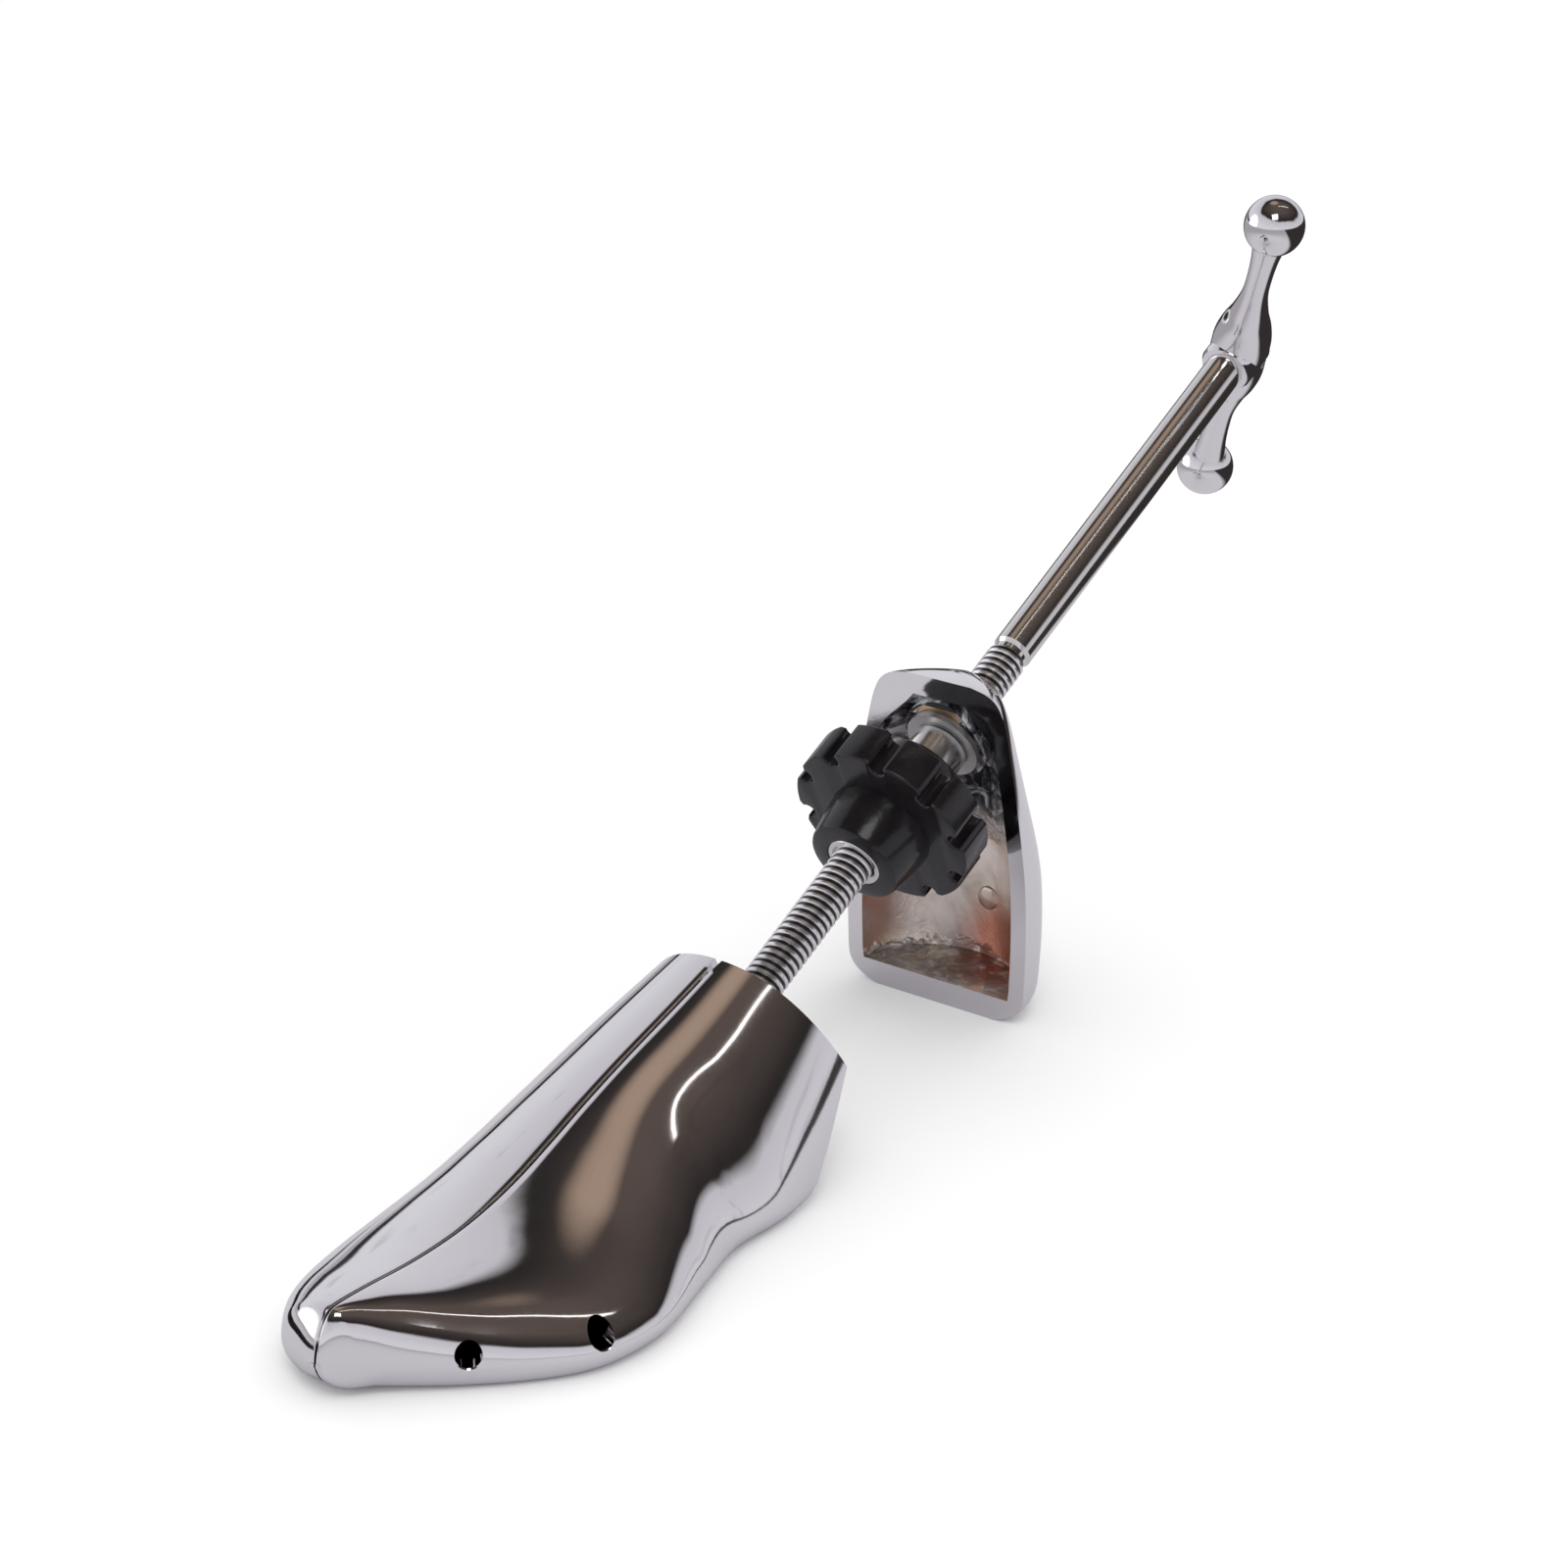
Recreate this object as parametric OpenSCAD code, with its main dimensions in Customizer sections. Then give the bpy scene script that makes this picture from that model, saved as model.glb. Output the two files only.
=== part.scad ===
// Two-way shoe stretcher: a split toe block, a heel block and one long screw with a T-handle.
// The toe points along -X, the heel and the handle along +X, and the floor is z = 0.
// The origin is on the floor, at the middle of the heel block's foot.

/* [Screw rod] */
// Tilt of the rod above the floor, in degrees
rod_tilt = 25.55; // [15:0.05:32]
// Height of the rod axis above the floor where it leaves the toe block
rod_height = 28.8; // [27:0.1:32]
// Diameter of the rod and of its thread
rod_d = 10; // [8:0.5:10]
// Advance of the thread in one turn
thread_pitch = 2; // [1:0.25:3]
// Distance along the rod from the toe block's rear face to the end of the thread
thread_end = 119.6; // [110:0.1:140]
// Distance along the rod from the toe block's rear face to the middle of the T-handle
handle_at = 238.6; // [225:0.1:260]

/* [Toe block] */
// Length of the toe block's sole and nose in front of the rod's reference point
toe_len = 139; // [130:1:150]
// Half width of the right half at the ball of the foot
ball_right = 42.4; // [40:0.1:46]
// Half width of the left half at the ball of the foot
ball_left = 31.5; // [29:0.1:34]
// Half width at the waist
waist_half = 34.4; // [33:0.1:37]
// Lift of the sole at the tip of the toe
toe_spring = 2.4; // [0:0.1:4]
// Thickness of the cast walls
toe_wall = 4; // [3:0.1:5]
// Gap of the seam between the closed halves
seam_gap = 0.5; // [0.3:0.1:1]
// Diameter of the holes that take stretching pegs
peg_hole_d = 5.6; // [4:0.1:7]

/* [Toe spreader] */
// Diameter of the threaded barrel in the pivot block
barrel_d = 15.2; // [14:0.1:16]
// Diameter of the two pivot pins
pivot_pin_d = 4; // [3:0.1:4.5]
// Distance between the two pivot pins
pivot_span = 16.6; // [16:0.1:18]
// Largest diameter of the spreader cone
cone_d = 16.4; // [15:0.1:17]
// Length of the spreader cone
cone_len = 10.7; // [9:0.1:12]
// Slope of the cone and of the ramps, rise over run
cone_slope = 0.27; // [0.2:0.01:0.3]
// Travel of the cone from closed to fully spread
spread_travel = 8; // [4:0.5:8]

/* [Star knob] */
// Distance along the rod from the toe block to the knob's front face
knob_at = 48.2; // [45:0.1:52]
// Diameter over the lobes
knob_d = 46; // [40:0.5:48]
// Number of lobes
knob_lobes = 10; // [6:1:11]
// Length of the lobes along the rod
lobe_len = 10.5; // [8:0.5:12]
// Length of the front hub
front_hub_len = 12; // [9:0.5:15]
// Length of the rear hub
rear_hub_len = 8; // [5:0.5:9]
// Diameter of the front hub's face
hub_d = 23; // [20:0.5:26]
// Outer diameter of the threaded metal insert
insert_d = 13.7; // [12.8:0.1:15]
// Length of the threaded insert
insert_len = 40; // [36:0.5:42]

/* [Heel block] */
// Distance along X from the rod's reference point to the heel block's rim
rim_at = 77.9; // [76:0.1:80]
// Half width of the rim
rim_half = 25.5; // [24:0.1:28]
// Height of the heel block
heel_h = 84; // [82:0.5:90]
// Depth of the heel block from the rim to the back
heel_depth = 25; // [23:0.1:28]
// Thickness of the heel block's walls
heel_wall = 4.2; // [3:0.1:5]
// Thickness of the heel block's floor
heel_floor = 6.1; // [4:0.1:8]
// Diameter of the boss that carries the rod
boss_d = 22; // [21:0.5:24]

/* [T-handle] */
// Distance between the middles of the two end balls
ball_span = 94.8; // [80:0.1:110]
// Diameter of the end balls
ball_d = 15.2; // [13:0.1:18]
// Diameter of the grip's swell round the rod
grip_d = 15; // [14:0.1:17]
// Diameter of the waist between the swell and each ball
neck_d = 6.4; // [6:0.1:8]
// Diameter of the socket that takes the rod
socket_d = 14; // [13:0.1:18]
// Turn of the handle about the rod at rest, in degrees
handle_turn = 23.2; // [0:0.1:90]

/* [Fits] */
// Radial clearance where a shaft turns or slides in a hole
run_gap = 0.05; // [0.02:0.01:0.08]
// Clearance between flat faces that move past each other
face_gap = 0.3; // [0.2:0.05:0.4]
// Radial clearance of pieces that are pressed together
seat_gap = 0.01; // [0.01:0.01:0.02]

/* [Hidden] */
$fn = 64;
tiny = 0.01;
big = 400;

// The heel block's foot, whose middle is the origin
foot_back = 10;
foot_x = rim_at + foot_back;

// Pivot block and spreader, along the rod from the toe block's rear face
rod_r = rod_d / 2;
pivot_s = -6;
block_front = -12;
block_rear = -1;
pivot_y = pivot_span / 2;
tongue_reach = 3.6;
tongue_room = 0.9;
tongue_low = barrel_d / 2 + 2.4;
tongue_high = tongue_low + 2.6;
ear_low = barrel_d / 2 - 0.7;
ear_inner = 4.5;
ear_outer = 30;
ear_top = 24;
barrel_room = 1.4;
relief_reach = 60;
relief_extra = 0.4;
web_half = 2.6;
pin_top = tongue_high + 2.9;
journal_d = 6;
shoulder_s = -24;
washer_t = 1;
cone_rear = shoulder_s - washer_t - 0.2;
cone_front = cone_rear - cone_len;
clip_t = 0.8;
clip_s = cone_front - 0.2 - clip_t;
journal_end = clip_s - 1.2;
spread_angle = atan(spread_travel * cone_slope / (pivot_s - cone_rear + spread_travel));

// Knob, washer, bush and boss, along the rod
star_s = knob_at + front_hub_len;
star_rear = star_s + lobe_len;
insert_rear = knob_at + insert_len;
knob_washer_t = 1.5;
knob_washer_s = insert_rear + 0.1;
boss_s = knob_washer_s + knob_washer_t + 0.1;
bush_d = 14;
bush_flange_d = 19;
bush_flange_t = 1.6;
socket_half = 8;
handle_bottom = handle_at - socket_half;

function lerp(a, b, t) = a + (b - a) * t;

// Smooth curve through hand-set points [x, value], with slopes from each point's neighbours
function slope_at(p, i) =
    let (a = max(i - 1, 0), b = min(i + 1, len(p) - 1)) (p[b][1] - p[a][1]) / (p[b][0] - p[a][0]);
function span_of(p, x, i = 0) = i >= len(p) - 2 || x < p[i + 1][0] ? i : span_of(p, x, i + 1);
function curve(p, x) =
    let (i = span_of(p, x), h = p[i + 1][0] - p[i][0], t = (x - p[i][0]) / h)
    (1 + 2 * t) * pow(1 - t, 2) * p[i][1] + t * pow(1 - t, 2) * h * slope_at(p, i)
    + t * t * (3 - 2 * t) * p[i + 1][1] - t * t * (1 - t) * h * slope_at(p, i + 1);

// Toe block outline: half width, top height and fullness of the section along X
nose_len = 6;
nose_x = -toe_len;
toe_rear_x = 12;
nose_mid = 7;
spring_from = -106;
spring_run = toe_len + spring_from;
right_width_points = [
    [-139, 3], [-134, 6], [-127, 13.5], [-119, 22.5], [-110, 31.5], [-101, 38.6], [-92, 41.9],
    [-80, ball_right], [-62, 38], [-46, waist_half], [-30, 35.2], [-14, 33.5], [3, 30.4], [14, 27.6]];
left_width_points = [
    [-139, 8.5], [-134, 14], [-126, 20.6], [-116, 25.2], [-104, 28.2], [-90, 30.2],
    [-76, ball_left], [-60, 33], [-46, waist_half], [-30, 35.4], [-14, 34.2], [3, 31.6], [14, 29]];
top_points = [
    [-139, 17.5], [-133, 19], [-124, 18.9], [-110, 18], [-98, 18.2], [-88, 19.4], [-77, 22],
    [-66, 25.8], [-54, 30.3], [-40, 35], [-20, 41.1], [-6, 45.6], [14, 52]];
fullness_points = [[-139, 1.9], [-100, 1.75], [-70, 1.4], [-40, 1.25], [-15, 1.4], [14, 1.65]];
side_power = 2.25;
sole_round = 5;

function nose_scale(x) =
    x >= nose_x + nose_len ? 1 : sqrt(max(1 - pow(1 - (x - nose_x) / nose_len, 2), 0));
function toe_half(x, side) =
    curve(side > 0 ? left_width_points : right_width_points, x) * max(nose_scale(x), 0.08);
function toe_top(x) = nose_mid + (curve(top_points, x) - nose_mid) * max(nose_scale(x), 0.08);
function toe_low(x) =
    nose_mid * (1 - max(nose_scale(x), 0.08)) + toe_spring * pow(max(spring_from - x, 0) / spring_run, 2);

// One section of a half block: down the dome, round the sole's edge and back to the seam.
// inset moves the whole section inward by a wall.
function section(x, side, inset, y0, dome_n, edge_n) =
    let (w = max(toe_half(x, side) - inset, 1.2), top = toe_top(x) - inset, low = toe_low(x) + inset,
         edge = min(sole_round, (top - low) * 0.4, w * 0.5), side = low + edge,
         q = curve(fullness_points, x), start = y0 > 0 ? asin(pow(y0 / w, side_power / 2)) : 0)
    concat(
        y0 > 0 ? [] : [[x, y0, top]],
        [for (i = [0:dome_n]) let (a = lerp(start, 90, i / dome_n))
            [x, w * pow(sin(a), 2 / side_power), side + (top - side) * pow(cos(a), 2 / q)]],
        [for (i = [1:edge_n]) let (a = 90 * i / edge_n)
            [x, w - edge * (1 - cos(a)), side - edge * sin(a)]],
        [[x, y0, low]]);

// A closed skin over a row of sections that have equal numbers of points
function skin_faces(rows, n) = concat(
    [for (r = [0:rows - 2], i = [0:n - 1]) let (j = (i + 1) % n) [r * n + i, r * n + j, (r + 1) * n + j]],
    [for (r = [0:rows - 2], i = [0:n - 1]) let (j = (i + 1) % n)
        [r * n + i, (r + 1) * n + j, (r + 1) * n + i]],
    [for (i = [1:n - 2]) [0, i + 1, i]],
    [for (i = [1:n - 2]) [(rows - 1) * n, (rows - 1) * n + i, (rows - 1) * n + i + 1]]);

// side is 1 for a skin as drawn and -1 for its mirror image across Y
module skin(sections, side = 1) {
    faces = skin_faces(len(sections), len(sections[0]));
    polyhedron(
        [for (s = sections, p = s) [p[0], side * p[1], p[2]]],
        side > 0 ? faces : [for (f = faces) [f[2], f[1], f[0]]]);
}

// Turns a child drawn on the +Y side over to the right half
module on_side(side) {
    mirror([0, side > 0 ? 0 : 1, 0]) children();
}

nose_steps = 5;
outer_stations = concat(
    [for (i = [0:nose_steps]) nose_x + nose_len * (1 - cos(90 * i / nose_steps))],
    [for (i = [1:30]) lerp(nose_x + nose_len, toe_rear_x, i / 30)]);
inner_stations = [for (i = [0:15]) lerp(nose_x + nose_len + toe_wall, toe_rear_x, i / 15)];

// Places a child in the rod's frame: X along the rod, Z square to it
module on_rod() {
    translate([0, 0, rod_height]) rotate([0, -rod_tilt, 0]) children();
}

// Straight piece of a round bar along the rod
module bar(r, from, to) {
    translate([from, 0, 0]) rotate([0, 90, 0]) cylinder(r = r, h = to - from);
}

// Cone along the rod
module taper(r_from, r_to, from, to) {
    translate([from, 0, 0]) rotate([0, 90, 0]) cylinder(r1 = r_from, r2 = r_to, h = to - from);
}

// Box given by its low and high corners
module box(low, high) {
    translate(low) cube(high - low);
}

// Everything sits relative to the heel block's foot
module from_foot() {
    translate([-foot_x, 0, 0]) children();
}

// Space behind the toe block's rear face and under its rising arch, moved in by a wall
arch_drop = 7.4;
arch_slope = 13.6;
module behind_toe(inset) {
    on_rod() {
        box([-inset, -big, -big], [big, big, big]);
        translate([0, 0, -arch_drop]) rotate([0, -arch_slope, 0])
            box([-big, -big, -big], [big, big, inset]);
    }
}

// What stands in the half's hollow: ears for the pivot block and the ramp for the cone
module half_inside() {
    ramp_y = cone_d / 2 + face_gap + 0.05;
    ramp_front = cone_front - spread_travel;
    ramp_height = 10;
    on_rod() {
        box([block_front + 1, ear_inner, ear_low], [0, ear_outer, tongue_low - face_gap]);
        box([block_front + 1, ear_inner, tongue_high + face_gap], [0, ear_outer, ear_top]);
        translate([0, 0, -ramp_height / 2]) linear_extrude(ramp_height)
            polygon([[cone_rear, ramp_y], [cone_rear, 60], [ramp_front, 60],
                     [ramp_front, ramp_y + (ramp_front - cone_rear) * cone_slope]]);
    }
}

// Hole for a stretching peg, square to the half's outline at station x
module peg_hole(x, side, z) {
    turn = atan((toe_half(x + 1, side) - toe_half(x - 1, side)) / 2);
    translate([x, toe_half(x, side), z]) rotate([0, 0, turn]) rotate([90, 0, 0])
        cylinder(d = peg_hole_d, h = 40, center = true);
}

peg_stations = [-119, -98];
peg_z = 8.5;

// Room in the rear wall and the ears for the pivot block, its tongue and one pivot pin
module pivot_room() {
    pocket = tongue_reach + tongue_room;
    on_rod() {
        bar(barrel_d / 2 + barrel_room, block_front - tiny, 1);
        box([block_front, -1, 0], [1, ear_inner, tongue_high + face_gap]);
        box([pivot_s - pocket, -1, tongue_low - face_gap],
            [pivot_s + pocket, pivot_y + pocket, tongue_high + face_gap]);
        translate([pivot_s, pivot_y, ear_low - 1])
            cylinder(d = pivot_pin_d + 2 * run_gap, h = pin_top - ear_low + 1 + face_gap);
    }
}

// Wedge that clears the seam behind the pivot, so that the halves can swing
module seam_relief() {
    on_rod() translate([pivot_s - 1, seam_gap / 2, -relief_reach])
        rotate([0, 0, spread_angle + relief_extra]) box([0, -5, 0], [30, 0, 2 * relief_reach]);
}

// One half: side is 1 for the left half, which lies on +Y, and -1 for the right half
module toe_half_solid(side) {
    difference() {
        skin([for (x = outer_stations) section(x, side, 0, seam_gap / 2, 13, 4)], side);
        behind_toe(0);
        difference() {
            skin([for (x = inner_stations) section(x, side, toe_wall, -1, 9, 2)], side);
            behind_toe(toe_wall);
            on_side(side) half_inside();
        }
        on_side(side) pivot_room();
        on_side(side) seam_relief();
        for (x = peg_stations) on_side(side) peg_hole(x, side, peg_z);
    }
}

module toe_half_left() {
    color("silver") from_foot() toe_half_solid(1);
}

module toe_half_right() {
    color("silver") from_foot() toe_half_solid(-1);
}

// Threaded barrel with a tongue above it that the two pivot pins pass through
module pivot_block() {
    color("gray") from_foot() on_rod() difference() {
        union() {
            bar(barrel_d / 2, block_front, block_rear);
            box([block_front + 1, -web_half, 0], [block_rear, web_half, tongue_low + tiny]);
            box([pivot_s - tongue_reach, -pivot_y, tongue_low],
                [pivot_s + tongue_reach, pivot_y, tongue_high]);
            for (y = [-pivot_y, pivot_y]) translate([pivot_s, y, tongue_low])
                cylinder(r = tongue_reach, h = tongue_high - tongue_low);
        }
        bar(rod_r + run_gap, block_front - 1, block_rear + 1);
        for (y = [-pivot_y, pivot_y]) translate([pivot_s, y, tongue_low - 1])
            cylinder(d = pivot_pin_d + 2 * seat_gap, h = tongue_high - tongue_low + 2);
    }
}

module pivot_pin(side) {
    color("dimgray") from_foot() on_rod() translate([pivot_s, side * pivot_y, 0]) {
        chamfer = 0.4;
        translate([0, 0, ear_low]) cylinder(d = pivot_pin_d, h = pin_top - ear_low - chamfer);
        translate([0, 0, pin_top - chamfer])
            cylinder(d1 = pivot_pin_d, d2 = pivot_pin_d - 2 * chamfer, h = chamfer);
    }
}

module pivot_pin_left() pivot_pin(1);
module pivot_pin_right() pivot_pin(-1);

// Cone that the screw pushes forward between the ramps
module spreader_cone() {
    color("gray") from_foot() on_rod() difference() {
        taper(cone_d / 2 - cone_len * cone_slope, cone_d / 2, cone_front, cone_rear);
        bar(journal_d / 2 + run_gap, cone_front - 1, cone_rear + 1);
    }
}

module cone_thrust_washer() {
    color("goldenrod") from_foot() on_rod() difference() {
        bar(rod_r + 1, shoulder_s - washer_t - 0.1, shoulder_s - 0.1);
        bar(journal_d / 2 + 2 * run_gap, shoulder_s - washer_t - 1, shoulder_s + 1);
    }
}

clip_groove_d = 4.8;
module cone_retaining_clip() {
    color("dimgray") from_foot() on_rod() difference() {
        bar(journal_d / 2 + 1.3, clip_s, clip_s + clip_t);
        bar(clip_groove_d / 2 + run_gap, clip_s - 1, clip_s + clip_t + 1);
        box([clip_s - 1, -clip_groove_d / 2 + 0.4, -8], [clip_s + clip_t + 1, clip_groove_d / 2 - 0.4, 0]);
    }
}

// The long screw: journal for the cone, threaded length, relief groove and plain shank
module screw_rod() {
    socket_end = handle_at + 2;
    relief = 0.75 * thread_pitch;
    thread_depth = 0.4 * thread_pitch;
    color("lightgray") from_foot() on_rod() difference() {
        union() {
            bar(journal_d / 2, journal_end, shoulder_s + tiny);
            bar(rod_r, shoulder_s, thread_end);
            bar(rod_r - thread_depth, thread_end - tiny, thread_end + relief + tiny);
            bar(rod_r, thread_end + relief, socket_end);
        }
        difference() {
            bar(rod_r, clip_s - 0.05, clip_s + clip_t + 0.05);
            bar(clip_groove_d / 2, clip_s - 1, clip_s + clip_t + 1);
        }
        cross_hole();
    }
}

cross_pin_d = 3;
module cross_hole() {
    translate([handle_at, 0, 0]) rotate([handle_turn, 0, 0]) rotate([90, 0, 0])
        cylinder(d = cross_pin_d + 2 * seat_gap, h = 2 * socket_d, center = true);
}

module handle_cross_pin() {
    pin_len = socket_d - 0.6;
    color("dimgray") from_foot() on_rod() translate([handle_at, 0, 0])
        rotate([handle_turn, 0, 0]) rotate([90, 0, 0]) cylinder(d = cross_pin_d, h = pin_len, center = true);
}

// Outline of the star: a disc with narrow, shallow valleys between broad lobes
valley_r = 1.9;
valley_depth = 1.8;
first_valley = 13;
module star_outline(r) {
    difference() {
        circle(r = r, $fn = 128);
        for (i = [0:knob_lobes - 1]) rotate(first_valley + 360 * i / knob_lobes) {
            translate([r - valley_depth, 0]) circle(r = valley_r, $fn = 32);
            polygon([[r - valley_depth, -valley_r], [r - valley_depth, valley_r],
                     [r + 1, valley_r + 0.8], [r + 1, -valley_r - 0.8]]);
        }
    }
}

module star_knob() {
    edge = 0.8;
    taper_d = hub_d + 3;
    color([0.08, 0.08, 0.08]) from_foot() on_rod() difference() {
        union() {
            taper(hub_d / 2 - edge, hub_d / 2, knob_at, knob_at + edge);
            taper(hub_d / 2, taper_d / 2, knob_at + edge, star_s + tiny);
            intersection() {
                translate([star_s, 0, 0]) rotate([0, 90, 0])
                    linear_extrude(lobe_len) star_outline(knob_d / 2);
                union() {
                    taper(knob_d / 2 - edge, knob_d / 2, star_s, star_s + edge);
                    bar(knob_d / 2, star_s + edge, star_rear - edge);
                    taper(knob_d / 2, knob_d / 2 - edge, star_rear - edge, star_rear);
                }
            }
            taper(taper_d / 2, hub_d / 2, star_rear - tiny, star_rear + rear_hub_len);
        }
        bar(insert_d / 2 + seat_gap, knob_at - 1, star_rear + rear_hub_len + 1);
    }
}

module knob_threaded_insert() {
    lead_in = 0.6;
    color("silver") from_foot() on_rod() difference() {
        bar(insert_d / 2, knob_at, insert_rear);
        bar(rod_r + run_gap, knob_at - 1, insert_rear + 1);
        taper(rod_r + lead_in + 0.1, rod_r, knob_at - 0.1, knob_at + lead_in);
        taper(rod_r, rod_r + lead_in + 0.1, insert_rear - lead_in, insert_rear + 0.1);
    }
}

module knob_thrust_washer() {
    color("lightgray") from_foot() on_rod() difference() {
        bar(bush_flange_d / 2, knob_washer_s, knob_washer_s + knob_washer_t);
        bar(rod_r + 3 * run_gap, knob_washer_s - 1, knob_washer_s + knob_washer_t + 1);
    }
}

// Heel block: level sections stacked from the floor to the crown, each a half superellipse
// behind the upright rim. The fullness falls from an ellipse at the foot to a ridge at the crown.
heel_width_points = [
    [0, 17], [1.5, 21], [4, 24.2], [8, rim_half], [heel_h - 50, rim_half], [heel_h - 32, 23.3],
    [heel_h - 16, 20.5], [heel_h - 8, 18.8], [heel_h - 4, 17.2], [heel_h - 2, 15.4],
    [heel_h - 0.8, 13], [heel_h, 9]];
heel_depth_points = [
    [0, 17.5], [1.5, 20], [4, 22.3], [10, 24], [heel_h - 60, heel_depth], [heel_h - 40, 24.6],
    [heel_h - 24, 22], [heel_h - 12, 19.4], [heel_h - 5, 16.4], [heel_h - 2, 13],
    [heel_h - 0.8, 10.5], [heel_h, 6.5]];
heel_fullness_points = [[0, 2], [heel_h - 54, 2], [heel_h - 29, 1.6], [heel_h - 9, 1.4], [heel_h, 1.4]];

function heel_section(z, inset, z0, front, n) =
    let (w = max(curve(heel_width_points, z) - inset, 2), d = max(curve(heel_depth_points, z) - inset, 3),
         e = 2 / curve(heel_fullness_points, z))
    concat(
        front > 0 ? [[rim_at - front, w, z0]] : [],
        [for (i = [0:n]) let (t = lerp(90, -90, i / n))
            [rim_at + d * pow(abs(cos(t)), e), w * sign(sin(t)) * pow(abs(sin(t)), e), z0]],
        front > 0 ? [[rim_at - front, -w, z0]] : []);

foot_round = 6;
crown = heel_h - 8;
crown_wall = heel_h - 14;
heel_levels = concat(
    [0, 0.7, 1.6, 2.8, 4.2, foot_round],
    [for (i = [1:14]) lerp(foot_round, crown, i / 14)],
    [for (below = [5.5, 3.5, 2, 0.8, 0]) heel_h - below]);
cavity_levels = [for (i = [0:10]) lerp(heel_floor, heel_h - 5, i / 10)];

module heel_block() {
    color("silver") from_foot() difference() {
        skin([for (z = heel_levels) heel_section(z, 0, z, 0, 24)]);
        difference() {
            skin([for (z = cavity_levels)
                heel_section(min(max(z, foot_round), crown + 1), heel_wall + 0.8 * max(z - crown_wall, 0), z, 5, 16)]);
            on_rod() bar(boss_d / 2, boss_s, boss_s + 60);
        }
        on_rod() {
            bar(bush_d / 2 + seat_gap, boss_s - 1, boss_s + 60);
            bar(bush_flange_d / 2 + seat_gap, boss_s - 10, boss_s + bush_flange_t);
        }
    }
}

// Flanged bush pressed into the boss, which slides on the rod
bush_len = 15;
module heel_rod_bush() {
    color("peru") from_foot() on_rod() difference() {
        union() {
            bar(bush_flange_d / 2, boss_s, boss_s + bush_flange_t);
            bar(bush_d / 2, boss_s, boss_s + bush_len);
        }
        bar(rod_r + 1.6 * run_gap, boss_s - 1, boss_s + bush_len + 1);
    }
}

// Half outline of the grip: a swell round the rod, a waist and a flare into the ball at each end
ball_r = ball_d / 2;
flare_d = neck_d + 2;
neck_at = ball_span / 2 - sqrt(pow(ball_r, 2) - pow(flare_d / 2, 2));
grip_points = [
    [0, grip_d / 2], [6, grip_d / 2], [11, grip_d / 2 - 1], [0.38 * neck_at, lerp(neck_d, grip_d, 0.4) / 2],
    [0.55 * neck_at, neck_d / 2 + 0.2], [0.7 * neck_at, neck_d / 2], [0.86 * neck_at, neck_d / 2 + 0.3],
    [neck_at, flare_d / 2]];

module t_handle() {
    grip_steps = 14;
    color("silver") from_foot() on_rod() difference() {
        union() {
            translate([handle_at, 0, 0]) rotate([handle_turn, 0, 0]) {
                rotate_extrude() polygon(concat(
                    [[0, -neck_at - 1]],
                    [for (i = [-grip_steps:grip_steps]) let (u = neck_at * i / grip_steps)
                        [curve(grip_points, abs(u)), u]],
                    [[0, neck_at + 1]]));
                for (side = [-1, 1]) translate([0, 0, side * ball_span / 2]) {
                    sphere(d = ball_d);
                    mirror([0, 0, side > 0 ? 1 : 0]) cylinder(d = neck_d, h = ball_r + 1);
                }
            }
            taper(socket_d / 2 - 1.5, socket_d / 2, handle_bottom, handle_bottom + 1.5);
            bar(socket_d / 2, handle_bottom + 1.5, handle_at + 4);
            taper(socket_d / 2, socket_d / 2 - 3, handle_at + 4, handle_at + socket_half);
        }
        bar(rod_r + seat_gap, handle_bottom - 1, handle_at + 2);
        cross_hole();
    }
}

toe_half_left();
toe_half_right();
pivot_block();
pivot_pin_left();
pivot_pin_right();
spreader_cone();
cone_thrust_washer();
cone_retaining_clip();
screw_rod();
star_knob();
knob_threaded_insert();
knob_thrust_washer();
heel_block();
heel_rod_bush();
t_handle();
handle_cross_pin();
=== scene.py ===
import math

import bmesh
import bpy
from mathutils import Matrix, Vector


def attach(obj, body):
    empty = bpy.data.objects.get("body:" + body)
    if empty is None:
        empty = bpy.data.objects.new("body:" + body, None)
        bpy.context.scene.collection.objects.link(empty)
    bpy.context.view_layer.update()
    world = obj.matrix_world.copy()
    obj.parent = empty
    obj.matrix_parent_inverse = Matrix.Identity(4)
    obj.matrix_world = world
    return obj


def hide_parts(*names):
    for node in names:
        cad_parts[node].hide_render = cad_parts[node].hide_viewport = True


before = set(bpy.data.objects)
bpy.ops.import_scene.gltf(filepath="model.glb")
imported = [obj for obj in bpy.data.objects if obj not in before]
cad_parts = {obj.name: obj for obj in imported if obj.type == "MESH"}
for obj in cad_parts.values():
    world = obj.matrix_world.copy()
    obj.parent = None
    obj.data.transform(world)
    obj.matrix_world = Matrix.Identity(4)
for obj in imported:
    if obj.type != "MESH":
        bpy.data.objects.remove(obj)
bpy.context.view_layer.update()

# Sizes in millimetres: the CAD part's own, and a few small roundings that only the scene has
ROD_TILT = 25.55
ROD_HEIGHT = 28.8
ROD_R = 5.0
THREAD_PITCH = 2.0
THREAD_DEPTH = 0.8
THREAD_END = 119.6
HANDLE_AT = 238.6
RIM_AT = 77.9
FOOT_X = RIM_AT + 10

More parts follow.
